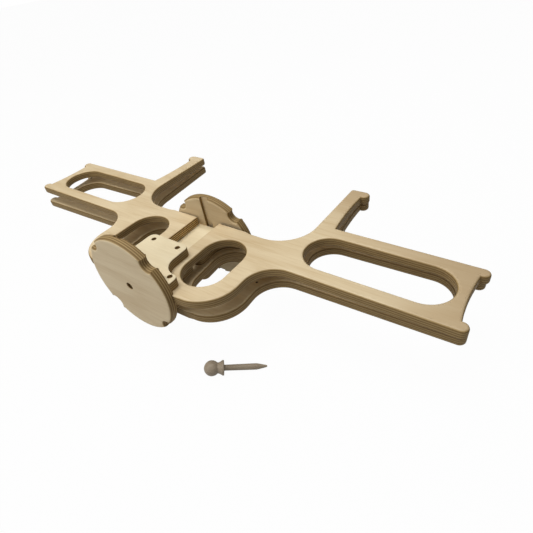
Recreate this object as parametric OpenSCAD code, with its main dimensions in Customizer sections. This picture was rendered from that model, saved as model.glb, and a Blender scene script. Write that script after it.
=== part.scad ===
// Skein winder of birch plywood in two halves, stacked as for storage.
// Each half is a disc, two arms and two cheeks. Pulled apart, turned a quarter
// turn and pushed together, the halves make a cross of four arms.
// X runs along the arms, Y along the spindle from the front disc backwards and
// Z is up. The origin is the front bore's centre on the disc's outer face.
// Millimetres.

/* [Plywood] */
// Thickness of every plywood piece
ply = 12; // [9:0.5:15]
// Gap on each side where a board's edge enters a slot
slot_gap = 0.3; // [0.1:0.1:1]
// Width of the slot that the other half's hub block enters, over the block
cross_gap = 3; // [1:0.5:6]

/* [Winding stations] */
// Spindle axis to the wound skein on the arm ends (a two-yard skein)
outer_station = 323.3; // [250:0.1:400]
// Spindle axis to the wound skein on the branches (a one-yard skein)
inner_station = 155.5; // [130:0.5:180]
// Place of the arm's middle line along the spindle, from the hub's middle
arm_mid = 72; // [60:0.5:90]
// Width of the arm's bar
arm_w = 95; // [70:1:110]
// Radius of the hollow in the arm's end
end_hollow_r = 250; // [120:5:400]
// Spindle axis to the tips of the two knobs beside the end hollow
end_knob_x = 333.5; // [260:0.5:412]
// Radius of those knobs
end_knob_r = 7; // [4:0.5:10]
// Place of the branch's station along the spindle, from the hub's middle
branch_mid = 177; // [160:1:190]
// Spindle axis to the branch's straight inner side
branch_in = 136; // [110:1:150]
// Spindle axis to the knob on the branch's tip
branch_knob_x = 164.5; // [156:0.5:180]
// Radius of the hollow in the branch's outer side
branch_hollow_r = 400; // [200:5:600]
// Radius of the knob on the branch's tip
branch_knob_r = 7.5; // [4:0.5:10]
// Place of the branch's tip along the spindle, from the hub's middle
branch_tip = 213.5; // [200:0.5:230]
// Radius of the tip's small inner corner
branch_corner_r = 4; // [1:0.5:6]

/* [Hub board] */
// Half length of the hub along the spindle
hub_half = 65; // [50:1:80]
// Spindle axis to the hub's side
hub_side = 116; // [100:1:130]
// Radius of the hub's front lobe
lobe_r = 45; // [20:1:60]
// Radius of the hollow between the hub and the bar's front edge
waist_r = 35; // [20:1:50]
// Radius of the crotch between the hub and the branch
crotch_r = 46; // [20:1:60]

/* [Lightening holes] */
// Spindle axis to the near end of the long slot
long_near = 146.5; // [140:0.5:170]
// Spindle axis to the far end of the long slot
long_far = 311; // [240:1:315]
// Width of the long slot
long_w = 57.6; // [40:0.2:70]
// Spindle axis to the near side of the hub slot
hub_slot_near = 37.5; // [34:0.5:45]
// Spindle axis to the far side of the hub slot
hub_slot_far = 92; // [80:0.5:100]
// Length of the hub slot along the spindle
hub_slot_len = 87; // [60:1:100]
// Place of the hub slot's middle along the spindle
hub_slot_mid = 1; // [-5:0.5:5]

/* [Discs] */
// Diameter of each disc
disc_d = 125; // [100:1:150]
// Depth of the slots in the disc's inner face
dado_deep = 4; // [2:0.5:6]
// Diameter of the spindle bore (runs on a three-eighths rod)
bore_d = 9.7; // [6:0.1:16]
// Radius of the four scallops in the rim
scallop_r = 8; // [5:0.5:12]
// Depth of the scallops
scallop_deep = 6.5; // [3:0.5:10]

/* [Cheeks] */
// Half width of the cheek's neck
cheek_half = 31; // [24:0.5:34]
// Radius of the cheek's inner corners
cheek_corner_r = 8; // [3:0.5:12]
// Radius of the hollow between neck and foot
cheek_hollow_r = 20; // [12:0.5:24]
// Half width of the foot on the disc
foot_half = 58; // [52:0.5:60]
// Radius of the foot's corners
foot_corner_r = 6; // [3:0.5:8]
// Length of the foot's side from the disc to its corner's centre
foot_side = 8; // [4:0.5:12]
// Gap between the cheeks of the two halves when they are pushed home
cheek_meet_gap = 1; // [0.4:0.2:3]

/* [Screws] */
// Diameter of the sunk hole over each screw head
sink_d = 6.5; // [6:0.1:9]
// Depth of the sunk hole
sink_deep = 4; // [2:0.5:6]
// Diameter of the screw's head
head_d = 6.2; // [5:0.1:8]
// Diameter of the screw's shank
shank_d = 3.5; // [3:0.1:4.5]
// Length of the screw
screw_len = 28; // [20:1:30]
// Place of the inner screws, out from the middle
inner_screw_x = 20; // [12:0.5:24]
// Place of the inner screws, back from the cheek's inner edge
inner_screw_in = 9; // [6:0.5:14]
// Place of the foot screws, out from the middle
foot_screw_x = 50; // [40:0.5:52]
// Place of the foot screws, from the disc
foot_screw_in = 9; // [6:0.5:12]

/* [Locking peg] */
// Length of the turned peg from ball to tip
peg_len = 70.5; // [50:0.5:90]
// Diameter of the ball
peg_ball_d = 17.5; // [14:0.5:24]
// Diameter of the neck between ball and collar
peg_neck_d = 12; // [8:0.5:13]
// Diameter of the collar behind the ball
peg_collar_d = 17; // [14:0.5:24]
// Diameter of the shank at the collar
peg_shank_d = 6.5; // [5:0.1:9.2]
// Diameter of the shank where its point begins
peg_swell_d = 7; // [5:0.1:9.4]
// Length of the point
peg_point = 12; // [4:0.5:20]
// Diameter of the point's blunt end
peg_blunt_d = 2; // [1:0.1:4]
// Place of the ball's centre, across
peg_x = 106; // [90:1:200]
// Place of the ball's centre, back from the front disc's outer face
peg_y = -3; // [-100:0.5:20]
// Turn of the peg on the floor, from the X axis
peg_turn = 38.5; // [-90:0.5:60]

/* [How the halves lie] */
// Slope of the back half, its back end up
stack_slope = 2.5; // [0:0.1:4]
// Turn of the back half seen from above, its left end forward
stack_turn = 1.5; // [0:0.1:3]
// Clearance kept where the halves rest in one another
rest_gap = 0.35; // [0.2:0.05:1]

/* [Smoothness] */
// Facets on the curves when previewed
$fn = 96; // [48:8:160]

/* [Hidden] */
over = 1;
halves = 2;
quarter_turn = 90;
eighth_turn = 45;

disc_r = disc_d / 2;
disc_in = hub_half - dado_deep;
hub_mid = disc_in + ply;
block_t = 3 * ply;
cross_half = (block_t + cross_gap) / 2;
dado_w = ply + 2 * slot_gap;
scallop_at = disc_r + scallop_r - scallop_deep;
bore_deep = ply - dado_deep;

arm_front = arm_mid - arm_w / 2;
arm_back = arm_mid + arm_w / 2;
end_mid_x = outer_station + end_hollow_r;
end_knob_mid_x = end_knob_x - end_knob_r;
end_knob_dy = arm_w / 2 - end_knob_r;

branch_mid_x = inner_station + branch_hollow_r;
branch_knob_mid_x = branch_knob_x - branch_knob_r;
branch_knob_y = branch_tip - branch_knob_r;

cheek_len = disc_in - cheek_meet_gap / 2;
foot_mid_x = foot_half - foot_corner_r;
foot_deep = foot_side + foot_corner_r;
hollow_mid_y = foot_deep + cheek_hollow_r;
hollow_mid_x = cheek_half + cheek_hollow_r;
screw_hole_d = shank_d + slot_gap / 3;
head_h = (head_d - shank_d) / 2;
screw_top = block_t / 2 - sink_deep;
drive_w = head_d / 8;
drive_len = head_d * 0.55;
drive_deep = head_h * 0.8;
screw_point = shank_d;

// The back cheek's foot comes up under the front arms, and the back disc, which
// leans forward and turns, stays behind the front hub's edge.
stack_drop = (ply + block_t) / 2 + disc_in * sin(stack_slope) + rest_gap;
stack_out = hub_half + rest_gap - disc_in * cos(stack_slope)
    + (ply / 2 + stack_drop) * sin(stack_slope) + disc_r * sin(stack_turn);
floor_z = hub_half * sin(stack_slope) - stack_drop - disc_r * cos(stack_slope);
peg_ball_r = peg_ball_d / 2;
peg_collar_r = peg_collar_d / 2;
peg_swell_r = peg_swell_d / 2;
peg_neck_at = peg_ball_r * 0.75;
peg_flare_at = peg_ball_r * 1.3;
peg_collar_end = peg_ball_r * 1.55;
peg_tip_at = peg_len - peg_ball_r;
peg_swell_at = peg_tip_at - peg_point;
// The peg rests on the shank where the point begins and on its ball or collar.
peg_lean = max(asin((peg_ball_r - peg_swell_r) / peg_swell_at),
               atan((peg_collar_r - peg_swell_r) / (peg_swell_at - peg_collar_end)));
peg_high = max(peg_ball_r,
               peg_collar_end * sin(peg_lean) + peg_collar_r * cos(peg_lean));

// Flat shapes

// A slot with round ends along X, from x0 to x1, w wide, about y = 0.
module round_slot(x0, x1, w) {
    translate([x0 + w / 2, -w / 2])
        square([x1 - x0 - w, w]);
    for (x = [x0 + w / 2, x1 - w / 2])
        translate([x, 0])
            circle(d = w);
}

// Hub board of the right arm, without its slot.
module hub_outline() {
    lobe_x = hub_side - lobe_r;
    lobe_y = lobe_r - hub_half;
    waist_y = arm_front - waist_r;
    translate([0, -hub_half])
        square([lobe_x, 2 * hub_half]);
    translate([0, lobe_y])
        square([hub_side, hub_half - lobe_y]);
    translate([hub_side - over, arm_front])
        square([branch_in - hub_side + 2 * over, hub_half - arm_front]);
    translate([lobe_x, lobe_y])
        circle(r = lobe_r);
    difference() {
        translate([hub_side - over, waist_y])
            square([waist_r + over, waist_r + over]);
        translate([hub_side + waist_r, waist_y])
            circle(r = waist_r);
    }
    difference() {
        translate([branch_in - crotch_r, hub_half - over])
            square([crotch_r + over, crotch_r + over]);
        translate([branch_in - crotch_r, hub_half + crotch_r])
            circle(r = crotch_r);
    }
}

// Bar of the right arm with its hollow end and two knobs.
module bar_outline() {
    difference() {
        translate([branch_in, arm_front])
            square([end_knob_mid_x - branch_in, arm_w]);
        translate([end_mid_x, arm_mid])
            circle(r = end_hollow_r);
    }
    for (side = [-1, 1])
        translate([end_knob_mid_x, arm_mid + side * end_knob_dy])
            circle(r = end_knob_r);
}

// Branch of the right arm, which carries the inner station.
module branch_outline() {
    difference() {
        union() {
            translate([branch_in, arm_mid])
                square([branch_knob_x - branch_in, branch_knob_y - arm_mid]);
            translate([branch_in, branch_knob_y - over])
                square([branch_knob_mid_x - branch_in, branch_knob_r - branch_corner_r + over]);
            translate([branch_in + branch_corner_r, branch_knob_y])
                square([branch_knob_mid_x - branch_in - branch_corner_r, branch_knob_r]);
            translate([branch_in + branch_corner_r, branch_tip - branch_corner_r])
                circle(r = branch_corner_r);
        }
        translate([branch_mid_x, branch_mid])
            circle(r = branch_hollow_r);
    }
    translate([branch_knob_mid_x, branch_knob_y])
        circle(r = branch_knob_r);
}

// Right arm. open_side is 1 where the cross slot opens to the back and -1 where
// it opens to the front.
module arm_outline(open_side) {
    difference() {
        union() {
            hub_outline();
            bar_outline();
            branch_outline();
        }
        translate([0, arm_mid])
            round_slot(long_near, long_far, long_w);
        translate([(hub_slot_near + hub_slot_far) / 2, hub_slot_mid])
            rotate(quarter_turn)
                round_slot(-hub_slot_len / 2, hub_slot_len / 2, hub_slot_far - hub_slot_near);
        translate([-over, open_side > 0 ? 0 : -hub_half - over])
            square([cross_half + over, hub_half + over]);
    }
}

// Cheek from its disc at y = 0 to its inner edge.
module cheek_outline() {
    translate([-cheek_half, 0])
        square([2 * cheek_half, cheek_len - cheek_corner_r]);
    translate([cheek_corner_r - cheek_half, 0])
        square([2 * (cheek_half - cheek_corner_r), cheek_len]);
    for (side = [-1, 1]) {
        translate([side * (cheek_half - cheek_corner_r), cheek_len - cheek_corner_r])
            circle(r = cheek_corner_r);
        translate([side * foot_mid_x, foot_side])
            circle(r = foot_corner_r);
    }
    translate([-foot_half, 0])
        square([2 * foot_half, foot_side]);
    translate([-foot_mid_x, 0])
        square([2 * foot_mid_x, foot_deep]);
    difference() {
        translate([-hollow_mid_x, foot_deep - over])
            square([2 * hollow_mid_x, cheek_hollow_r + over]);
        for (side = [-1, 1])
            translate([side * hollow_mid_x, hollow_mid_y])
                circle(r = cheek_hollow_r);
    }
}

// Pieces of one half, about the middle of its hub. The front half has disc_side
// -1, the back half 1.

// Places for a half's inner or foot screws on the upper side of the hub block.
module at_inner_screws(disc_side) {
    for (side = [-1, 1])
        translate([side * inner_screw_x, disc_side * (cheek_meet_gap / 2 + inner_screw_in), 0])
            children();
}

module at_foot_screws(disc_side) {
    for (side = [-1, 1])
        translate([side * foot_screw_x, disc_side * (disc_in - foot_screw_in), 0])
            children();
}

module screw_bores(disc_side) {
    at_inner_screws(disc_side)
        screw_bore(disc_side);
    at_foot_screws(disc_side)
        screw_bore(disc_side);
}

// The front half's screws go in from above and the back half's from below.
module facing(disc_side) {
    rotate([disc_side > 0 ? halves * quarter_turn : 0, 0, 0])
        children();
}

module screw_bore(disc_side) {
    facing(disc_side) {
        translate([0, 0, screw_top])
            cylinder(d = sink_d, h = sink_deep + over);
        translate([0, 0, screw_top - screw_len])
            cylinder(d = screw_hole_d, h = screw_len + over);
        translate([0, 0, screw_top - head_h])
            cylinder(d1 = screw_hole_d, d2 = head_d + slot_gap / 3, h = head_h);
    }
}

module screw(disc_side) {
    facing(disc_side)
        difference() {
            union() {
                translate([0, 0, screw_top - head_h])
                    cylinder(d1 = shank_d, d2 = head_d, h = head_h);
                translate([0, 0, screw_top - screw_len + screw_point])
                    cylinder(d = shank_d, h = screw_len - screw_point - head_h);
                translate([0, 0, screw_top - screw_len])
                    cylinder(d1 = drive_w, d2 = shank_d, h = screw_point);
            }
            for (turn = [0, quarter_turn])
                rotate([0, 0, turn])
                    translate([-drive_len / 2, -drive_w / 2, screw_top - drive_deep])
                        cube([drive_len, drive_w, drive_deep + over]);
        }
}

module arm(side, disc_side) {
    difference() {
        translate([0, 0, -ply / 2])
            mirror([side > 0 ? 0 : 1, 0, 0])
                linear_extrude(height = ply)
                    arm_outline(-disc_side);
        screw_bores(disc_side);
    }
}

module cheek(level, disc_side) {
    difference() {
        translate([0, disc_side * disc_in, level * ply - ply / 2])
            mirror([0, disc_side > 0 ? 1 : 0, 0])
                linear_extrude(height = ply)
                    cheek_outline();
        screw_bores(disc_side);
    }
}

// Disc with its bore, the scallops in its rim and the crossed slots in its
// inner face: the level one holds its own arms, the upright one takes the hub
// of the other half.
module disc(disc_side) {
    mirror([0, disc_side > 0 ? 1 : 0, 0])
        translate([0, -disc_in - ply, 0])
            rotate([-quarter_turn, 0, 0])
                difference() {
                    cylinder(r = disc_r, h = ply);
                    translate([0, 0, -over])
                        cylinder(d = bore_d, h = ply + 2 * over);
                    for (turn = [0, quarter_turn])
                        rotate([0, 0, turn])
                            translate([-disc_r - over, -dado_w / 2, ply - dado_deep])
                                cube([disc_d + 2 * over, dado_w, dado_deep + over]);
                    for (i = [0:3])
                        rotate([0, 0, eighth_turn + i * quarter_turn])
                            translate([scallop_at, 0, -over])
                                cylinder(r = scallop_r, h = ply + 2 * over);
                }
}

// Where the two halves lie.

module front_half() {
    translate([0, hub_mid, 0])
        children();
}

module back_half() {
    translate([0, hub_mid + stack_out, -stack_drop])
        rotate([stack_slope, 0, stack_turn])
            children();
}

// Sub-parts

module upper_left_arm() {
    color([0.84, 0.73, 0.58])
        front_half()
            arm(-1, -1);
}

module upper_right_arm() {
    color([0.86, 0.78, 0.63])
        front_half()
            arm(1, -1);
}

module lower_left_arm() {
    color([0.83, 0.73, 0.58])
        back_half()
            arm(-1, 1);
}

module lower_right_arm() {
    color([0.83, 0.74, 0.58])
        back_half()
            arm(1, 1);
}

module front_disc() {
    color([0.79, 0.73, 0.58])
        front_half()
            disc(-1);
}

module back_disc() {
    color([0.79, 0.73, 0.58])
        back_half()
            disc(1);
}

module front_top_cheek() {
    color([0.89, 0.85, 0.71])
        front_half()
            cheek(1, -1);
}

module front_bottom_cheek() {
    color([0.86, 0.8, 0.65])
        front_half()
            cheek(-1, -1);
}

module back_top_cheek() {
    color([0.86, 0.8, 0.65])
        back_half()
            cheek(1, 1);
}

module back_bottom_cheek() {
    color([0.86, 0.8, 0.65])
        back_half()
            cheek(-1, 1);
}

module front_inner_screws() {
    color([0.35, 0.31, 0.26])
        front_half()
            at_inner_screws(-1)
                screw(-1);
}

module front_foot_screws() {
    color([0.35, 0.31, 0.26])
        front_half()
            at_foot_screws(-1)
                screw(-1);
}

module back_inner_screws() {
    color([0.35, 0.31, 0.26])
        back_half()
            at_inner_screws(1)
                screw(1);
}

module back_foot_screws() {
    color([0.35, 0.31, 0.26])
        back_half()
            at_foot_screws(1)
                screw(1);
}

// Turned peg with its ball at the origin and its tip along X, laid on the floor.
module locking_peg() {
    color([0.6, 0.54, 0.46])
        translate([peg_x, peg_y, floor_z + peg_high])
            rotate([0, 0, peg_turn])
                rotate([0, quarter_turn + peg_lean, 0]) {
                    sphere(d = peg_ball_d);
                    rotate_extrude()
                        polygon([
                            [0, 0],
                            [peg_neck_d / 2, 0],
                            [peg_neck_d / 2, peg_neck_at],
                            [peg_collar_r, peg_flare_at],
                            [peg_collar_r, peg_collar_end],
                            [peg_shank_d / 2, peg_collar_end],
                            [peg_swell_r, peg_swell_at],
                            [peg_blunt_d / 2, peg_tip_at],
                            [0, peg_tip_at]
                        ]);
                }
}

upper_left_arm();
upper_right_arm();
lower_left_arm();
lower_right_arm();
front_disc();
back_disc();
front_top_cheek();
front_bottom_cheek();
back_top_cheek();
back_bottom_cheek();
front_inner_screws();
front_foot_screws();
back_inner_screws();
back_foot_screws();
locking_peg();
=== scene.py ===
"""Skein winder of birch plywood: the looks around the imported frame.

The boards are rounded copies of the frame's nodes with a plywood finish, the peg
is turned from a profile, and the screws keep their shape from the frame.
Everything is in metres, in the frame's axes.
"""

import math

import bmesh
import bpy
import numpy as np
from bpy.props import FloatProperty, FloatVectorProperty, IntProperty, PointerProperty
from mathutils import Matrix, Vector
from mathutils.geometry import tessellate_polygon


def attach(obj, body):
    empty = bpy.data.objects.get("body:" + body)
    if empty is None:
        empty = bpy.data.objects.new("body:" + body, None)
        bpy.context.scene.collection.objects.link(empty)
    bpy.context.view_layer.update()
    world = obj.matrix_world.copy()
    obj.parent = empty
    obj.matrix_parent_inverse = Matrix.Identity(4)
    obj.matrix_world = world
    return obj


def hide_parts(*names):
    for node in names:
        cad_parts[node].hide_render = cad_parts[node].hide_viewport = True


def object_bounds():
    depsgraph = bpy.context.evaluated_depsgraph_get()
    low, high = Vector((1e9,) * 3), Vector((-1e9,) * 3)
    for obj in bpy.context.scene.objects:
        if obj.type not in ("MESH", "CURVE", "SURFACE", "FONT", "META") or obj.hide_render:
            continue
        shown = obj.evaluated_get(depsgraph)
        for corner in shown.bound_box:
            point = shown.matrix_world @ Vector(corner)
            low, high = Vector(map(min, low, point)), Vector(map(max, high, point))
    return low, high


bl_info = {
    "name": "Skein Winder",
    "version": (1, 0, 0),
    "blender": (4, 5, 0),
    "location": "3D View > Sidebar > Skein Winder",
    "description": "Builds the boards, discs, screws and peg of a plywood skein winder",
    "category": "Add Mesh",
}

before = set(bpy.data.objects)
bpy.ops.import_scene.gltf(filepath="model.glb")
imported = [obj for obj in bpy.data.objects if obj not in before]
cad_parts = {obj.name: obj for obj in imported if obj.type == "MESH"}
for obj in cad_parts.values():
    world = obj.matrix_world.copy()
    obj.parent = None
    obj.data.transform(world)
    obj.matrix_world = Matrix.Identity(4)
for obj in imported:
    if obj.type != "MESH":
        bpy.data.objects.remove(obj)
CAD_LOW, CAD_HIGH = [Vector(corner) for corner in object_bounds()]

MM = 0.001

# Sizes of the frame's pieces that the roundings and finishes go by.
PLY = 12 * MM
HUB_HALF = 65 * MM
HUB_MID = 73 * MM
HUB_SIDE = 116 * MM
CROSS_HALF = 19.5 * MM
DISC_IN = 61 * MM
DISC_MID = 67 * MM
DISC_R = 62.5 * MM
DADO_W = 12.6 * MM
# A cheek's screw holes: from its middle line, and from the spindle to the disc.
SCREW_HOLES = ((20 * MM, 9.5 * MM), (50 * MM, 52 * MM))
SCREW_REACH = 5 * MM

# How the back half lies stacked under the front one.
STACK_SLOPE = math.radians(2.5)
STACK_TURN = math.radians(1.5)
REST_GAP = 0.35 * MM
STACK_DROP = 2 * PLY + DISC_IN * math.sin(STACK_SLOPE) + REST_GAP
STACK_OUT = (
    HUB_HALF
    + REST_GAP
    - DISC_IN * math.cos(STACK_SLOPE)
    + (PLY / 2 + STACK_DROP) * math.sin(STACK_SLOPE)
    + DISC_R * math.sin(STACK_TURN)
)

# Measures of the work on the meshes.
NEAR = 0.3 * MM
WELD = 0.005 * MM
OUTLINE_STEP = 4 * MM
# Height of a unit normal: at least this on a level face, at most this on a wall.
LEVEL = 0.99
UPRIGHT = 0.1
# Rounding of an edge that is only sanded.
EASE = 0.3 * MM
# Length over which an arm's rounding fades out beside the hub.
FADE = 8 * MM

# Places of the halves and their boards.
FRONT = Matrix.Translation((0, HUB_MID, 0))
BACK = (
    Matrix.Translation((0, HUB_MID + STACK_OUT, -STACK_DROP))
    @ Matrix.Rotation(STACK_TURN, 4, "Z")
    @ Matrix.Rotation(STACK_SLOPE, 4, "X")
)
# Each plate lies one board above or below its arms.
ABOVE = Matrix.Translation((0, 0, PLY))
BELOW = Matrix.Translation((0, 0, -PLY))
# A disc stands up: its board coordinates have Z along the spindle.
STANDING = Matrix.Rotation(math.radians(90), 4, "X")
FRONT_DISC = FRONT @ Matrix.Translation((0, -DISC_MID, 0)) @ STANDING
BACK_DISC = BACK @ Matrix.Translation((0, DISC_MID, 0)) @ STANDING

# Knots in the lower arms' top veneer: along, across and radius.
LEFT_KNOT = (-319.5 * MM, 106.9 * MM, 2.6 * MM)
RIGHT_KNOT = (110.2 * MM, 7 * MM, 1.9 * MM)
# Distance from the spindle over which painted shade darkens the arms' veneer and turns it
# brown.
END_SHADE_FROM = 180 * MM
END_SHADE_TO = 340 * MM
# Softness of the line between the face veneer and the ply below.
VENEER_BLUR = 0.12 * MM

# Linear colours of small marks, and the tints that paint light onto the plies on the walls
# of an arm's cross slot.
PORE = (0.25, 0.16, 0.08, 1)
GLUE = (0.05, 0.028, 0.013, 1)
KNOT = (0.045, 0.026, 0.01, 1)
GRIME = (0.45, 0.33, 0.2, 1)
WHITE = (1, 1, 1, 1)
# Painted light in the cross slot: long-grain plies made lighter, crosswise plies darker.
SLOT_LIGHT_ALONG = (1.9, 1.95, 2.1, 1)
SLOT_LIGHT_ACROSS = (0.7, 0.7, 0.72, 1)


def swatch(name, description, colour):
    """A colour property with a default in linear values."""
    return FloatVectorProperty(
        name=name,
        description=description,
        subtype="COLOR",
        size=3,
        min=0,
        max=1,
        default=colour,
    )


def length(name, description, metres):
    """A length property in metres."""
    return FloatProperty(
        name=name, description=description, unit="LENGTH", default=metres, min=0
    )


def tone(red, green, blue):
    """Linear colour of an 8-bit screen colour."""
    parts = (red / 255, green / 255, blue / 255)
    return tuple(
        c / 12.92 if c <= 0.04045 else ((c + 0.055) / 1.055) ** 2.4 for c in parts
    )


class WinderBoards(bpy.types.PropertyGroup):
    """Sizes and colours of the plywood boards."""

    arm_round: length("Arm Rounding", "Radius along the arms' edges", 3.0 * MM)
    cheek_round: length("Cheek Rounding", "Radius along the cheeks' edges", 0.8 * MM)
    disc_round: length("Disc Rounding", "Radius along the discs' rims", 3.6 * MM)
    ply_pitch: length("Ply Pitch", "Thickness of one ply", PLY / 9)
    round_steps: IntProperty(
        name="Rounding Steps",
        description="Faces across each rounded edge",
        default=5,
        min=2,
        max=12,
    )
    face: swatch("Face", "Birch face veneer", tone(217, 198, 162))
    face_dark: swatch("Face Figure", "Darker figure in the veneer", tone(194, 169, 128))
    # Colour that the painted shade reaches at an arm's end.
    end_shade_colour: swatch("End Shade", "Painted shade browning the veneer towards an arm's end", tone(170, 145, 109))
    pale: swatch("Pale Face", "Face of the cheeks", tone(227, 212, 178))
    pale_dark: swatch("Pale Figure", "Figure on the cheeks", tone(212, 194, 155))
    edge: swatch("Edge", "Light plies on the edge", tone(164, 138, 90))
    edge_dark: swatch("Edge Lines", "Dark plies on the edge", tone(106, 80, 42))


class WinderFittings(bpy.types.PropertyGroup):
    """Colours of the screws and the peg."""

    steel: swatch("Screw", "Dull steel of the screws", tone(226, 203, 160))
    peg: swatch("Peg", "Turned wood of the peg", tone(156, 142, 122))
    peg_dark: swatch("Peg Figure", "Figure in the turned wood", tone(126, 111, 92))


class WinderStage(bpy.types.PropertyGroup):
    """Floor, light and camera."""

    floor: swatch("Floor", "Pale floor", (0.55, 0.55, 0.55))
    lens: FloatProperty(
        name="Lens",
        description="Focal length",
        subtype="DISTANCE_CAMERA",
        default=27.67,
        min=5,
    )
    camera_at: FloatVectorProperty(
        name="Camera",
        description="Where the camera stands",
        subtype="XYZ",
        size=3,
        unit="LENGTH",
        default=(0.3493, -0.1773, 0.2906),
    )


# Node helpers


def add(tree, kind, **settings):
    """A new node with its settings."""
    node = tree.nodes.new(kind)
    for key, value in settings.items():
        setattr(node, key, value)
    return node


def feed(tree, socket, value):
    """Links a socket, or sets a plain value."""
    if isinstance(value, bpy.types.NodeSocket):
        tree.links.new(value, socket)
    else:
        socket.default_value = value


def maths(tree, operation, first, second=0.0, clamp=False):
    """Result of one Math node."""
    node = add(tree, "ShaderNodeMath", operation=operation, use_clamp=clamp)
    feed(tree, node.inputs[0], first)
    feed(tree, node.inputs[1], second)
    return node.outputs[0]


def blur_step(tree, value, low, high):
    """Smooth step from 0 at low to 1 at high."""
    node = add(tree, "ShaderNodeMapRange", interpolation_type="SMOOTHSTEP")
    feed(tree, node.inputs["Value"], value)
    feed(tree, node.inputs["From Min"], low)
    feed(tree, node.inputs["From Max"], high)
    return node.outputs["Result"]


def colour_mix(tree, share, first, second, blend="MIX"):
    """Mix node's colour sockets, which share their names with others."""
    node = add(tree, "ShaderNodeMix", data_type="RGBA", blend_type=blend)
    colours = [s for s in node.inputs if s.type == "RGBA"]
    feed(tree, node.inputs[0], share)
    feed(tree, colours[0], first)
    feed(tree, colours[1], second)
    return [s for s in node.outputs if s.type == "RGBA"][0]


def stretched(tree, vector, scale):
    """Vector times a plain scale."""
    node = add(tree, "ShaderNodeVectorMath", operation="MULTIPLY")
    feed(tree, node.inputs[0], vector)
    feed(tree, node.inputs[1], scale)
    return node.outputs[0]


def cloudy(tree, vector, seed, detail=4.0, roughness=0.55, distortion=0.0):
    """Noise at scale 1 along an already stretched vector."""
    node = add(tree, "ShaderNodeTexNoise", noise_dimensions="4D")
    feed(tree, node.inputs["Vector"], vector)
    feed(tree, node.inputs["W"], seed)
    feed(tree, node.inputs["Scale"], 1.0)
    feed(tree, node.inputs["Detail"], detail)
    feed(tree, node.inputs["Roughness"], roughness)
    feed(tree, node.inputs["Distortion"], distortion)
    return node.outputs["Fac"]


def opened_group(name, inputs, outputs):
    """A shader node group with named sockets."""
    group = bpy.data.node_groups.new(name, "ShaderNodeTree")
    for socket_name, socket_type in inputs:
        group.interface.new_socket(
            name=socket_name, in_out="INPUT", socket_type=socket_type
        )
    for socket_name, socket_type in outputs:
        group.interface.new_socket(
            name=socket_name, in_out="OUTPUT", socket_type=socket_type
        )
    return group, add(group, "NodeGroupInput"), add(group, "NodeGroupOutput")


def placed_group(tree, name, values):
    """A shader node group in a material, with that material's own values."""
    node = add(tree, "ShaderNodeGroup", node_tree=bpy.data.node_groups[name])
    for socket, value in values.items():
        feed(tree, node.inputs[socket], value)
    return node


def opened_material(name):
    """A material with its node tree and its Principled shader."""
    material = bpy.data.materials.new(name)
    material.use_nodes = True
    tree = material.node_tree
    return material, tree, tree.nodes["Principled BSDF"]


def bumped(tree, shader, height, strength, distance):
    """Feeds a height to a shader's normal."""
    bump = add(tree, "ShaderNodeBump")
    feed(tree, bump.inputs["Strength"], strength)
    feed(tree, bump.inputs["Distance"], distance)
    feed(tree, bump.inputs["Height"], height)
    feed(tree, shader.inputs["Normal"], bump.outputs["Normal"])


# Finishes


COLOUR = "NodeSocketColor"
NUMBER = "NodeSocketFloat"
VECTOR = "NodeSocketVector"


def birch_grain_group():
    """Rotary-cut birch: soft figure, fine fibres and short pores along X."""
    tree, given, out = opened_group(
        "birch_grain",
        [("Board", VECTOR), ("Seed", NUMBER), ("Light", COLOUR), ("Dark", COLOUR)],
        [("Colour", COLOUR), ("Height", NUMBER)],
    )
    board = given.outputs["Board"]
    seed = given.outputs["Seed"]
    # The scales are cycles in a metre, along the grain and across it.
    figure = cloudy(tree, stretched(tree, board, (7, 38, 38)), seed, 3.0, 0.5, 0.9)
    streaks = cloudy(tree, stretched(tree, board, (22, 420, 420)), seed, 3.0, 0.6)
    fibre = cloudy(tree, stretched(tree, board, (130, 2600, 2600)), seed, 2.0, 0.6)
    pores = cloudy(tree, stretched(tree, board, (300, 3400, 3400)), seed, 1.0, 0.5)
    figure_share = blur_step(tree, figure, 0.34, 0.72)
    streak_share = blur_step(tree, streaks, 0.42, 0.75)
    pore_share = blur_step(tree, pores, 0.66, 0.8)
    share = maths(
        tree,
        "ADD",
        maths(tree, "MULTIPLY", figure_share, 0.62),
        maths(tree, "MULTIPLY", streak_share, 0.4),
        True,
    )
    base = colour_mix(tree, share, given.outputs["Light"], given.outputs["Dark"])
    pored = colour_mix(tree, maths(tree, "MULTIPLY", pore_share, 0.35), base, PORE)
    feed(tree, out.inputs["Colour"], pored)
    feed(tree, out.inputs["Height"], maths(tree, "SUBTRACT", fibre, pore_share))
    return tree


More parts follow.
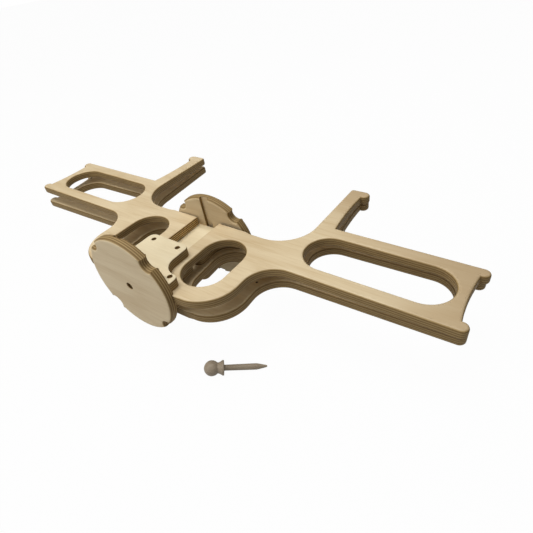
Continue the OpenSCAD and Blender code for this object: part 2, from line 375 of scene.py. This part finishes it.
def ply_lines_group():
    """Stacked plies across the edge: light and dark bands with thin glue lines.

    Crosswise is 1 in the dark bands, where the fibres run into the board.
    """
    tree, given, out = opened_group(
        "ply_lines",
        [
            ("Board", VECTOR),
            ("Seed", NUMBER),
            ("Pitch", NUMBER),
            ("Light", COLOUR),
            ("Dark", COLOUR),
        ],
        [("Colour", COLOUR), ("Height", NUMBER), ("Crosswise", NUMBER)],
    )
    board = given.outputs["Board"]
    seed = given.outputs["Seed"]
    dark = given.outputs["Dark"]
    parts = add(tree, "ShaderNodeSeparateXYZ")
    feed(tree, parts.inputs[0], board)
    waver = cloudy(tree, stretched(tree, board, (60, 60, 60)), 2.0, 2.0)
    shift = maths(tree, "MULTIPLY", maths(tree, "SUBTRACT", waver, 0.5), 0.35)
    layer = maths(
        tree,
        "ADD",
        maths(tree, "DIVIDE", parts.outputs["Z"], given.outputs["Pitch"]),
        shift,
    )
    wave = maths(tree, "COSINE", maths(tree, "MULTIPLY", layer, math.pi))
    bands = blur_step(tree, wave, 0.1, -0.35)
    glue = blur_step(tree, maths(tree, "ABSOLUTE", wave), 0.3, 0.08)
    speckle = cloudy(tree, stretched(tree, board, (900, 900, 2400)), seed, 3.0, 0.65)
    patch = cloudy(tree, stretched(tree, board, (45, 45, 320)), seed, 3.0, 0.6)
    share = maths(
        tree,
        "ADD",
        maths(tree, "MULTIPLY", bands, 0.78),
        maths(tree, "MULTIPLY", maths(tree, "SUBTRACT", speckle, 0.5), 0.55),
        True,
    )
    banded = colour_mix(tree, share, given.outputs["Light"], dark)
    glued = colour_mix(tree, maths(tree, "MULTIPLY", glue, 0.62), banded, GLUE)
    worn_share = maths(tree, "MULTIPLY", blur_step(tree, patch, 0.42, 0.72), 0.35)
    worn = colour_mix(tree, worn_share, glued, dark)
    feed(tree, out.inputs["Colour"], worn)
    feed(tree, out.inputs["Height"], maths(tree, "SUBTRACT", speckle, bands))
    feed(tree, out.inputs["Crosswise"], bands)
    return tree


def slot_plies_with_painted_light(tree, along, plies):
    """Edge colour of an arm, with painted light on the walls of its cross slot.

    There the long-grain plies are painted lighter, and the crosswise ones darker, so that
    the ply lines stand out.
    """
    in_slot = blur_step(
        tree,
        maths(tree, "ABSOLUTE", along),
        CROSS_HALF + 0.4 * MM,
        CROSS_HALF + 0.1 * MM,
    )
    tint = colour_mix(tree, plies.outputs["Crosswise"], SLOT_LIGHT_ALONG, SLOT_LIGHT_ACROSS)
    return colour_mix(tree, in_slot, plies.outputs["Colour"], tint, "MULTIPLY")


def veneer_shaded_towards_end(tree, at, veneer, end_shade):
    """Face colour of an arm, with painted shade that makes it darker and browner with the
    distance from the spindle.
    """
    from_spindle = add(tree, "ShaderNodeVectorMath", operation="LENGTH")
    feed(tree, from_spindle.inputs[0], stretched(tree, at, (0.9, 1.35, 0)))
    far_out = blur_step(tree, from_spindle.outputs["Value"], END_SHADE_FROM, END_SHADE_TO)
    share = maths(tree, "MULTIPLY", far_out, end_shade)
    end_shade_colour = bpy.context.scene.winder_boards.end_shade_colour
    return colour_mix(tree, share, veneer, (*end_shade_colour, 1))


def knotted_veneer(tree, at, veneer, knot):
    """Face colour with a small dark knot in the top veneer."""
    along, across, radius = knot
    away = add(tree, "ShaderNodeVectorMath", operation="DISTANCE")
    feed(tree, away.inputs[0], at)
    feed(tree, away.inputs[1], (along, across, PLY / 2))
    in_knot = blur_step(tree, away.outputs["Value"], radius, radius / 2)
    return colour_mix(tree, in_knot, veneer, KNOT)


def plywood(name, seed, light, dark, end_shade=0.0, knots=()):
    """Plywood finish: grain on the faces, stacked plies wherever the edge is cut.

    Only an arm has an end shade, which is how strongly painted shade darkens and
    browns its veneer towards its end, and painted light on its cross slot's walls.
    """
    boards = bpy.context.scene.winder_boards
    material, tree, shader = opened_material(name)
    at = add(tree, "ShaderNodeAttribute", attribute_name="board_at").outputs["Vector"]
    parts = add(tree, "ShaderNodeSeparateXYZ")
    feed(tree, parts.inputs[0], at)
    grain = placed_group(
        tree,
        "birch_grain",
        {"Board": at, "Seed": seed, "Light": (*light, 1), "Dark": (*dark, 1)},
    )
    plies = placed_group(
        tree,
        "ply_lines",
        {
            "Board": at,
            "Seed": seed,
            "Pitch": boards.ply_pitch,
            "Light": (*boards.edge, 1),
            "Dark": (*boards.edge_dark, 1),
        },
    )

    # The outer ply is the face veneer, also where the rounding cuts into it.
    veneer_at = PLY / 2 - boards.ply_pitch * 0.45
    in_veneer = blur_step(
        tree,
        maths(tree, "ABSOLUTE", parts.outputs["Z"]),
        veneer_at - VENEER_BLUR,
        veneer_at + VENEER_BLUR,
    )
    lies_flat = add(tree, "ShaderNodeAttribute", attribute_name="lies_flat")
    on_face = maths(tree, "MAXIMUM", in_veneer, lies_flat.outputs["Fac"])

    edge = plies.outputs["Colour"]
    veneer = grain.outputs["Colour"]
    # Arms get painted light on their cross slot's walls, and painted shade towards their
    # ends.
    if end_shade:
        edge = slot_plies_with_painted_light(tree, parts.outputs["X"], plies)
        veneer = veneer_shaded_towards_end(tree, at, veneer, end_shade)
    for knot in knots:
        veneer = knotted_veneer(tree, at, veneer, knot)
    feed(tree, shader.inputs["Base Color"], colour_mix(tree, on_face, edge, veneer))
    feed(
        tree,
        shader.inputs["Roughness"],
        maths(tree, "SUBTRACT", 0.68, maths(tree, "MULTIPLY", on_face, 0.14)),
    )
    height = add(tree, "ShaderNodeMix", data_type="FLOAT")
    feed(tree, height.inputs[0], on_face)
    feed(tree, height.inputs[2], plies.outputs["Height"])
    feed(tree, height.inputs[3], grain.outputs["Height"])
    bumped(tree, shader, height.outputs[0], 0.22, 0.15 * MM)
    shader.inputs["Specular IOR Level"].default_value = 0.35
    return material


def turned_wood():
    """Finish of the peg: plain close-grained wood with faint tool rings."""
    fittings = bpy.context.scene.winder_fittings
    material, tree, shader = opened_material("turned_peg_wood")
    at = add(tree, "ShaderNodeAttribute", attribute_name="board_at").outputs["Vector"]
    grain = placed_group(
        tree,
        "birch_grain",
        {
            "Board": at,
            "Seed": 7.3,
            "Light": (*fittings.peg, 1),
            "Dark": (*fittings.peg_dark, 1),
        },
    )
    rings = add(tree, "ShaderNodeTexWave", wave_type="BANDS", bands_direction="X")
    feed(tree, rings.inputs["Vector"], at)
    feed(tree, rings.inputs["Scale"], 900.0)
    feed(tree, rings.inputs["Distortion"], 2.0)
    feed(tree, shader.inputs["Base Color"], grain.outputs["Colour"])
    feed(
        tree,
        shader.inputs["Roughness"],
        maths(tree, "ADD", 0.5, maths(tree, "MULTIPLY", rings.outputs["Fac"], 0.12)),
    )
    bumped(tree, shader, rings.outputs["Fac"], 0.2, 0.1 * MM)
    shader.inputs["Specular IOR Level"].default_value = 0.35
    return material


def dull_steel():
    """Finish of the screws: dull steel with patches of grime."""
    steel = bpy.context.scene.winder_fittings.steel
    material, tree, shader = opened_material("dull_screw_steel")
    at = add(tree, "ShaderNodeTexCoord").outputs["Object"]
    patches = cloudy(tree, stretched(tree, at, (700, 700, 700)), 1.0)
    grimy = blur_step(tree, patches, 0.35, 0.65)
    colour = colour_mix(tree, grimy, (*steel, 1), GRIME)
    feed(tree, shader.inputs["Base Color"], colour)
    feed(tree, shader.inputs["Metallic"], 0.35)
    feed(
        tree,
        shader.inputs["Roughness"],
        maths(tree, "ADD", 0.42, maths(tree, "MULTIPLY", patches, 0.2)),
    )
    return material


# Mesh helpers


def linked(name, data):
    """A new object in the scene's collection."""
    piece = bpy.data.objects.new(name, data)
    bpy.context.scene.collection.objects.link(piece)
    return piece


def turn_outward(mesh):
    """Turns all faces of a closed mesh outward."""
    work = bmesh.new()
    work.from_mesh(mesh)
    bmesh.ops.recalc_face_normals(work, faces=work.faces)
    work.to_mesh(mesh)
    work.free()


def store_board_places(mesh, places):
    """Keeps each point's place on its board, for the finish."""
    attribute = mesh.attributes.new("board_at", "FLOAT_VECTOR", "POINT")
    attribute.data.foreach_set("vector", np.asarray(places, np.float32).ravel())


def is_flat(normal):
    """Whether a face lies level with the board's top and bottom."""
    return abs(normal.z) > LEVEL


def board_mesh(node, place):
    """A node's mesh in board coordinates, with Z through the thickness."""
    work = bmesh.new()
    work.from_mesh(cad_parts[node].data)
    work.transform(place.inverted())
    bmesh.ops.remove_doubles(work, verts=work.verts, dist=WELD)
    bmesh.ops.dissolve_limit(
        work,
        angle_limit=math.radians(0.6),
        verts=work.verts,
        edges=work.edges,
        delimit=set(),
    )
    work.normal_update()
    return work


def placed_board(node, mesh, place):
    """Gives a mesh in board coordinates its attributes and its place."""
    store_board_places(mesh, [vertex.co[:] for vertex in mesh.vertices])
    flat = mesh.attributes.new("lies_flat", "FLOAT", "FACE")
    flat.data.foreach_set(
        "value", [float(is_flat(face.normal)) for face in mesh.polygons]
    )
    mesh.transform(place)
    mesh.shade_smooth()
    mesh.set_sharp_from_angle(angle=math.radians(32))
    return linked(node + "_board", mesh)


def face_loops(work, side):
    """Outlines of a board's whole face, with the wood on the left of each.

    side is 1 for the face at the top and -1 for the one at the bottom.
    """
    following = {}
    for face in work.faces:
        level = side * face.calc_center_median().z
        if side * face.normal.z < LEVEL or level < PLY / 2 - NEAR:
            continue
        for corner in face.loops:
            if not is_flat(corner.link_loop_radial_next.face.normal):
                here, there = corner.vert, corner.link_loop_next.vert
                if side < 0:
                    here, there = there, here
                following[here] = there
    loops = []
    while following:
        start, point = following.popitem()
        loop = [start.co.to_2d()]
        while point is not start:
            loop.append(point.co.to_2d())
            point = following.pop(point)
        loops.append(np.array(loop))
    return loops


def evened(loop, longest):
    """A loop with points added, so that no step is longer than a length."""
    points = []
    for here, there in zip(loop, np.roll(loop, -1, axis=0)):
        parts = max(1, math.ceil(np.linalg.norm(there - here) / longest))
        points.extend(here + (there - here) * part / parts for part in range(parts))
    return np.array(points)


def into_wood(loop):
    """At each point, the move that shifts the loop by one unit into the wood."""
    ahead = np.roll(loop, -1, axis=0) - loop
    ahead /= np.linalg.norm(ahead, axis=1, keepdims=True)
    behind = np.roll(ahead, 1, axis=0)
    both = ahead + behind
    left = np.stack((-both[:, 1], both[:, 0]), axis=1)
    return left / (1 + (ahead * behind).sum(axis=1, keepdims=True))


def rounded_board(loops, radius_at):
    """Mesh of a board with both rims of its walls rounded over.

    radius_at gives the rounding's radius at a point of the outline.
    """
    steps = bpy.context.scene.winder_boards.round_steps
    # From the flat face over the rounding to the wall, as shares of the radius.
    # The first and last line keep the shading of face and wall even.
    section = [(1, 0, EASE, 0)]
    for step in range(steps + 1):
        angle = math.pi / 2 * step / steps
        section.append((1 - math.sin(angle), 1 - math.cos(angle), 0, 0))
    section.append((0, 1, 0, EASE))
    lines = [(1, line) for line in section] + [(-1, line) for line in section[::-1]]

    points = []
    faces = []
    upper_rims = []
    lower_rims = []
    for loop in loops:
        loop = evened(loop, OUTLINE_STEP)
        radius = np.array([radius_at(x, y) for x, y in loop])[:, None]
        shift = into_wood(loop)
        count = len(loop)
        first = len(points)
        for side, (in_share, down_share, in_more, down_more) in lines:
            places = loop + shift * (radius * in_share + in_more)
            height = side * (PLY / 2 - radius * down_share - down_more)
            points.extend(np.hstack((places, height)).tolist())
        for line in range(len(lines) - 1):
            for i in range(count):
                j = (i + 1) % count
                low = first + line * count
                high = low + count
                faces.append((low + i, low + j, high + j, high + i))
        last = first + (len(lines) - 1) * count
        upper_rims.append(range(first, first + count))
        lower_rims.append(range(last, last + count))
    # Both faces get the same triangles between the outline and its holes.
    top = [[Vector(points[i]) for i in rim] for rim in upper_rims]
    top_index = [i for rim in upper_rims for i in rim]
    low_index = [i for rim in lower_rims for i in rim]
    for triangle in tessellate_polygon(top):
        faces.append([top_index[corner] for corner in triangle])
        faces.append([low_index[corner] for corner in reversed(triangle)])
    mesh = bpy.data.meshes.new("rounded_board")
    mesh.from_pydata(points, [], faces)
    turn_outward(mesh)
    return mesh


def grooved(mesh, groove_side):
    """A disc's mesh with the crossed grooves of its inner face cut in."""
    deep = 2 * (HUB_HALF - DISC_IN)
    piece = linked("grooved", mesh)
    cutters = []
    # Each cutter is a bar across the disc, with half its depth in the wood.
    for wide, long in ((DADO_W, 3 * DISC_R), (3 * DISC_R, DADO_W)):
        cutter_mesh = bpy.data.meshes.new("cutter")
        work = bmesh.new()
        bmesh.ops.create_cube(
            work,
            size=1,
            matrix=Matrix.LocRotScale(
                (0, 0, groove_side * PLY / 2), None, (wide, long, deep)
            ),
        )
        work.to_mesh(cutter_mesh)
        work.free()
        cutter = linked("cutter", cutter_mesh)
        cutters.append(cutter)
        cut = piece.modifiers.new("groove", "BOOLEAN")
        cut.object = cutter
        cut.solver = "EXACT"
    seen = piece.evaluated_get(bpy.context.evaluated_depsgraph_get())
    result = bpy.data.meshes.new_from_object(seen)
    for spare in (piece, *cutters):
        bpy.data.objects.remove(spare)
    return result


def eased_board(node, place, radius, stays_sharp):
    """A node's board with the corners along its outline just taken off.

    stays_sharp says which of the outline's edges keep their corner.
    """
    work = board_mesh(node, place)
    outline = []
    for edge in work.edges:
        if len(edge.link_faces) != 2:
            continue
        flat = [face for face in edge.link_faces if is_flat(face.normal)]
        side = [face for face in edge.link_faces if abs(face.normal.z) < UPRIGHT]
        middle = (edge.verts[0].co + edge.verts[1].co) / 2
        on_skin = abs(abs(middle.z) - PLY / 2) < NEAR
        if flat and side and on_skin and not stays_sharp(middle):
            outline.append(edge)
    bmesh.ops.bevel(
        work,
        geom=outline,
        offset=radius,
        offset_type="OFFSET",
        segments=3,
        profile=0.5,
        affect="EDGES",
        clamp_overlap=True,
    )
    mesh = bpy.data.meshes.new(node + "_eased")
    work.to_mesh(mesh)
    work.free()
    return placed_board(node, mesh, place)


def near_screw(middle, disc_side):
    """Whether a place is on the rim of one of a cheek's screw holes."""
    for across, along in SCREW_HOLES:
        away = Vector((abs(middle.x) - across, middle.y - disc_side * along))
        if away.length < SCREW_REACH:
            return True
    return False


def arm_radius_at(full):
    """Rounding along an arm: full, but hardly any at the hub's ends and middle."""

    def radius(x, y):
        if abs(x) < CROSS_HALF + NEAR or (abs(x) < DISC_R and abs(y) < 2 * NEAR):
            return EASE
        if abs(y) > HUB_HALF - NEAR and abs(x) < HUB_SIDE:
            share = min(max((abs(x) - DISC_R) / FADE, 0), 1)
            return EASE + (full - EASE) * share * share * (3 - 2 * share)
        return full

    return radius


def disc_radius_at(full):
    """Rounding along a disc's rim, with a plain bore."""

    def radius(x, y):
        return full if math.hypot(x, y) > DISC_R / 2 else EASE

    return radius


def sharp_on_cheek(disc_side):
    """Edges of a cheek that stay square: its foot on the disc and its holes."""

    def stays(middle):
        return abs(middle.y) > DISC_IN - NEAR or near_screw(middle, disc_side)

    return stays


def dressed(piece, node, body, material):
    """Puts a finished piece in place of its node."""
    piece.data.materials.clear()
    piece.data.materials.append(material)
    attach(piece, body)
    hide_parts(node)


def turned(name, profile, steps, place):
    """A closed turned piece from (along, radius) pairs, X being its axis."""
    points = []
    faces = []
    for along, radius in profile:
        for i in range(steps):
            angle = 2 * math.pi * i / steps
            points.append((along, radius * math.cos(angle), radius * math.sin(angle)))
    for ring in range(len(profile) - 1):
        for i in range(steps):
            following = (i + 1) % steps
            low = ring * steps
            high = low + steps
            faces.append((low + i, high + i, high + following, low + following))
    first = len(points)
    points.append((profile[0][0], 0, 0))
    points.append((profile[-1][0], 0, 0))
    last_ring = (len(profile) - 1) * steps
    for i in range(steps):
        following = (i + 1) % steps
        faces.append((first, i, following))
        faces.append((first + 1, last_ring + following, last_ring + i))
    mesh = bpy.data.meshes.new(name)
    mesh.from_pydata(points, [], faces)
    store_board_places(mesh, points)
    turn_outward(mesh)
    mesh.transform(place)
    mesh.shade_smooth()
    mesh.set_sharp_from_angle(angle=math.radians(50))
    return linked(name, mesh)


# Peg


PEG_X = 106 * MM
PEG_Y = -3 * MM
PEG_TURN = math.radians(38.5)
PEG_LENGTH = 70.5 * MM
PEG_BALL_R = 8.75 * MM
PEG_NECK_R = 6 * MM
PEG_COLLAR_R = 8.5 * MM
PEG_SHANK_R = 3.25 * MM
PEG_SWELL_R = 3.5 * MM
PEG_BLUNT_R = 1 * MM
PEG_RIM_ROUND = 0.3 * MM
PEG_NECK_AT = PEG_BALL_R * 0.76
PEG_RIM_AT = PEG_BALL_R * 1.3
PEG_COLLAR_END = 1.55 * PEG_BALL_R
PEG_TIP_AT = PEG_LENGTH - PEG_BALL_R
PEG_SWELL_AT = PEG_TIP_AT - 12 * MM
PEG_LEAN = math.atan((PEG_COLLAR_R - PEG_SWELL_R) / (PEG_SWELL_AT - PEG_COLLAR_END))
PEG_HIGH = PEG_COLLAR_END * math.sin(PEG_LEAN) + PEG_COLLAR_R * math.cos(PEG_LEAN)
PEG_STEPS = 48


def peg_place():
    """Where the peg lies: collar and shank on the floor."""
    return (
        Matrix.Translation((PEG_X, PEG_Y, CAD_LOW.z + PEG_HIGH))
        @ Matrix.Rotation(PEG_TURN, 4, "Z")
        @ Matrix.Rotation(PEG_LEAN, 4, "Y")
    )


def peg_profile():
    """(along, radius) pairs of the peg from the ball's crown to the tip."""
    profile = []
    # The ball ends where it meets the neck.
    ball_end = math.pi - math.asin(0.74)
    for i in range(1, 17):
        angle = ball_end * i / 16
        profile.append((-PEG_BALL_R * math.cos(angle), PEG_BALL_R * math.sin(angle)))
    # The neck swells in a hollow curve to the collar's rim.
    rim_radius = PEG_COLLAR_R - PEG_RIM_ROUND
    for i in range(9):
        share = i / 8
        along = PEG_NECK_AT + (PEG_RIM_AT - PEG_NECK_AT) * share
        profile.append((along, PEG_NECK_R + (rim_radius - PEG_NECK_R) * share**1.6))
    # The rim is a low round.
    rim_half = (PEG_COLLAR_END - PEG_RIM_AT) / 2
    for i in range(1, 8):
        angle = math.pi * i / 8
        along = PEG_RIM_AT + rim_half * (1 - math.cos(angle))
        profile.append((along, rim_radius + PEG_RIM_ROUND * math.sin(angle)))
    # The collar's end face steps down to the shank, which swells a little.
    profile.append((PEG_COLLAR_END, PEG_COLLAR_R - 0.8 * MM))
    profile.append((PEG_COLLAR_END + 0.2 * MM, PEG_SHANK_R + 0.4 * MM))
    profile.append((PEG_COLLAR_END + 0.8 * MM, PEG_SHANK_R))
    profile.append((PEG_SWELL_AT - 6 * MM, PEG_SWELL_R))
    # The point runs out in a slight curve to a blunt tip.
    for i in range(9):
        share = i / 8
        along = PEG_SWELL_AT + (PEG_TIP_AT - PEG_SWELL_AT) * share
        profile.append((along, PEG_SWELL_R + (PEG_BLUNT_R - PEG_SWELL_R) * share**1.15))
    profile.append((PEG_TIP_AT, PEG_BLUNT_R * 0.6))
    return profile


# Stage


FLOOR_HALF = 6.0
# How white the floor shows to the camera, beside its own shade.
FLOOR_GLOW = 0.975
# The room's own light, and what the camera sees of it more.
ROOM_LIGHT = 0.2
ROOM_SEEN = 0.8
CAMERA_RIGHT = Vector((0.81937, 0.56255, -0.11034))
CAMERA_UP = Vector((-0.28762, 0.56990, 0.76973))
CAMERA_FORWARD = Vector((-0.49590, 0.59896, -0.62876))


def lay_floor(stage):
    """A wide pale floor at the lowest point, nearly white to the camera."""
    z = CAD_LOW.z
    corners = [(-1, -1), (1, -1), (1, 1), (-1, 1)]
    mesh = bpy.data.meshes.new("floor")
    mesh.from_pydata(
        [(x * FLOOR_HALF, y * FLOOR_HALF, z) for x, y in corners], [], [(0, 1, 2, 3)]
    )
    floor = linked("floor", mesh)
    material, tree, shader = opened_material("pale_floor")
    feed(tree, shader.inputs["Base Color"], (*stage.floor, 1))
    feed(tree, shader.inputs["Roughness"], 0.9)
    glow = add(tree, "ShaderNodeEmission")
    feed(tree, glow.inputs["Color"], WHITE)
    path = add(tree, "ShaderNodeLightPath")
    through = path.outputs["Is Transmission Ray"]
    mirrored = maths(tree, "MAXIMUM", path.outputs["Is Glossy Ray"], through)
    seen = maths(tree, "MAXIMUM", path.outputs["Is Camera Ray"], mirrored)
    blend = add(tree, "ShaderNodeMixShader")
    feed(tree, blend.inputs[0], maths(tree, "MULTIPLY", seen, FLOOR_GLOW))
    feed(tree, blend.inputs[1], shader.outputs["BSDF"])
    feed(tree, blend.inputs[2], glow.outputs["Emission"])
    feed(tree, tree.nodes["Material Output"].inputs["Surface"], blend.outputs[0])
    mesh.materials.append(material)


def soft_panel(name, at, target, size, watts):
    """A square area lamp that faces a target."""
    lamp = bpy.data.lights.new(name, "AREA")
    lamp.shape = "SQUARE"
    lamp.size = size
    lamp.energy = watts
    holder = linked(name, lamp)
    holder.location = at
    facing = Vector(target) - Vector(at)
    holder.rotation_euler = facing.to_track_quat("-Z", "Y").to_euler()


def light_the_room():
    """Even light from the room and two soft panels."""
    world = bpy.context.scene.world or bpy.data.worlds.new("room")
    bpy.context.scene.world = world
    world.use_nodes = True
    tree = world.node_tree
    tree.nodes.clear()
    out = add(tree, "ShaderNodeOutputWorld")
    path = add(tree, "ShaderNodeLightPath")
    room = add(tree, "ShaderNodeBackground")
    feed(tree, room.inputs["Color"], WHITE)
    more = maths(tree, "MULTIPLY", path.outputs["Is Camera Ray"], ROOM_SEEN)
    feed(tree, room.inputs["Strength"], maths(tree, "ADD", ROOM_LIGHT, more))
    feed(tree, out.inputs["Surface"], room.outputs["Background"])
    soft_panel(
        "ceiling_panel", at=(-0.14, 0.05, 1.5), target=(0, 0.1, 0), size=1.0, watts=21
    )
    soft_panel(
        "side_panel", at=(-0.6, -1.4, 0.8), target=(0, 0.05, 0), size=1.2, watts=9
    )


def set_camera(stage):
    """The camera at the photograph's viewing angle."""
    camera = bpy.data.cameras.new("camera")
    camera.sensor_width = 36
    camera.lens = stage.lens
    camera.clip_start = 0.01
    holder = linked("camera", camera)
    turn = Matrix((CAMERA_RIGHT, CAMERA_UP, -CAMERA_FORWARD)).transposed()
    holder.matrix_world = Matrix.LocRotScale(
        Vector(stage.camera_at), turn.to_quaternion(), None
    )
    bpy.context.scene.camera = holder


# Operators


class WINDER_OT_arms(bpy.types.Operator):
    """Rounds the four arm boards and gives them birch faces and ply edges"""

    bl_idname = "winder.arms"
    bl_label = "Arms"

    def execute(self, context):
        boards = context.scene.winder_boards
        birch_grain_group()
        ply_lines_group()
        # Each arm's fifth value is how strongly painted shade darkens and browns its
        # veneer towards its end.
        arms = [
            ("upper_left_arm", "front_half", FRONT, 1.7, 0.05, ()),
            ("upper_right_arm", "front_half", FRONT, 4.2, 0.75, ()),
            ("lower_left_arm", "back_half", BACK, 9.1, 0.05, [LEFT_KNOT]),
            ("lower_right_arm", "back_half", BACK, 12.6, 0.5, [RIGHT_KNOT]),
        ]
        for node, body, place, seed, end_shade, knots in arms:
            plain = board_mesh(node, place)
            mesh = rounded_board(face_loops(plain, 1), arm_radius_at(boards.arm_round))
            plain.free()
            piece = placed_board(node, mesh, place)
            finish = plywood(
                node + "_birch_plywood",
                seed,
                boards.face,
                boards.face_dark,
                end_shade,
                knots,
            )
            dressed(piece, node, body, finish)
        return {"FINISHED"}


class WINDER_OT_discs(bpy.types.Operator):
    """Rounds the rims of the two discs"""

    bl_idname = "winder.discs"
    bl_label = "Discs"

    def execute(self, context):
        boards = context.scene.winder_boards
        discs = [
            ("front_disc", "front_half", FRONT_DISC, 1, 21.4),
            ("back_disc", "back_half", BACK_DISC, -1, 27.8),
        ]
        for node, body, place, outside, seed in discs:
            plain = board_mesh(node, place)
            whole = rounded_board(
                face_loops(plain, outside), disc_radius_at(boards.disc_round)
            )
            plain.free()
            piece = placed_board(node, grooved(whole, -outside), place)
            finish = plywood(
                node + "_birch_plywood", seed, boards.face, boards.face_dark
            )
            dressed(piece, node, body, finish)
        return {"FINISHED"}


class WINDER_OT_cheeks(bpy.types.Operator):
    """Eases the edges of the four cheek plates and gives them a paler face"""

    bl_idname = "winder.cheeks"
    bl_label = "Cheeks"

    def execute(self, context):
        boards = context.scene.winder_boards
        cheeks = [
            ("front_top_cheek", "front_half", FRONT @ ABOVE, -1, 31.5),
            ("front_bottom_cheek", "front_half", FRONT @ BELOW, -1, 34.9),
            ("back_top_cheek", "back_half", BACK @ ABOVE, 1, 38.2),
            ("back_bottom_cheek", "back_half", BACK @ BELOW, 1, 41.6),
        ]
        for node, body, place, disc_side, seed in cheeks:
            piece = eased_board(
                node, place, boards.cheek_round, sharp_on_cheek(disc_side)
            )
            finish = plywood(
                node + "_pale_plywood", seed, boards.pale, boards.pale_dark
            )
            dressed(piece, node, body, finish)
        return {"FINISHED"}


class WINDER_OT_screws(bpy.types.Operator):
    """Gives the screws in their sunk holes a dull steel finish"""

    bl_idname = "winder.screws"
    bl_label = "Screws"

    def execute(self, context):
        finish = dull_steel()
        for node in (
            "front_inner_screws",
            "front_foot_screws",
            "back_inner_screws",
            "back_foot_screws",
        ):
            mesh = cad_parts[node].data
            mesh.materials.clear()
            mesh.materials.append(finish)
        return {"FINISHED"}


class WINDER_OT_peg(bpy.types.Operator):
    """Turns the loose peg: ball, neck, collar, tapered shank and point"""

    bl_idname = "winder.peg"
    bl_label = "Peg"

    def execute(self, context):
        piece = turned("turned_peg", peg_profile(), PEG_STEPS, peg_place())
        dressed(piece, "locking_peg", "peg", turned_wood())
        return {"FINISHED"}


class WINDER_OT_stage(bpy.types.Operator):
    """Sets the pale floor, the soft light and the camera"""

    bl_idname = "winder.stage"
    bl_label = "Stage"

    def execute(self, context):
        lay_floor(context.scene.winder_stage)
        light_the_room()
        set_camera(context.scene.winder_stage)
        context.scene.view_settings.view_transform = "Standard"
        return {"FINISHED"}


class WINDER_PT_panel(bpy.types.Panel):
    """Lists the steps that build the skein winder"""

    bl_idname = "WINDER_PT_panel"
    bl_label = "Skein Winder"
    bl_space_type = "VIEW_3D"
    bl_region_type = "UI"
    bl_category = "Skein Winder"

    def draw(self, context):
        for group in (
            context.scene.winder_boards,
            context.scene.winder_fittings,
            context.scene.winder_stage,
        ):
            box = self.layout.box()
            for key in group.bl_rna.properties.keys():
                if key not in ("rna_type", "name"):
                    box.prop(group, key)
        for step in STEPS:
            self.layout.operator(step.bl_idname)


STEPS = (
    WINDER_OT_arms,
    WINDER_OT_discs,
    WINDER_OT_cheeks,
    WINDER_OT_screws,
    WINDER_OT_peg,
    WINDER_OT_stage,
)
CLASSES = (WinderBoards, WinderFittings, WinderStage, *STEPS, WINDER_PT_panel)


def register():
    """Registers the classes and hangs their settings on the scene."""
    for cls in CLASSES:
        bpy.utils.register_class(cls)
    bpy.types.Scene.winder_boards = PointerProperty(type=WinderBoards)
    bpy.types.Scene.winder_fittings = PointerProperty(type=WinderFittings)
    bpy.types.Scene.winder_stage = PointerProperty(type=WinderStage)


def unregister():
    """Takes the settings and the classes away again."""
    del bpy.types.Scene.winder_stage
    del bpy.types.Scene.winder_fittings
    del bpy.types.Scene.winder_boards
    for cls in reversed(CLASSES):
        bpy.utils.unregister_class(cls)


def main():
    """Registers the classes and runs every step."""
    register()
    bpy.ops.winder.arms()
    bpy.ops.winder.discs()
    bpy.ops.winder.cheeks()
    bpy.ops.winder.screws()
    bpy.ops.winder.peg()
    bpy.ops.winder.stage()


if __name__ == "__main__":
    main()
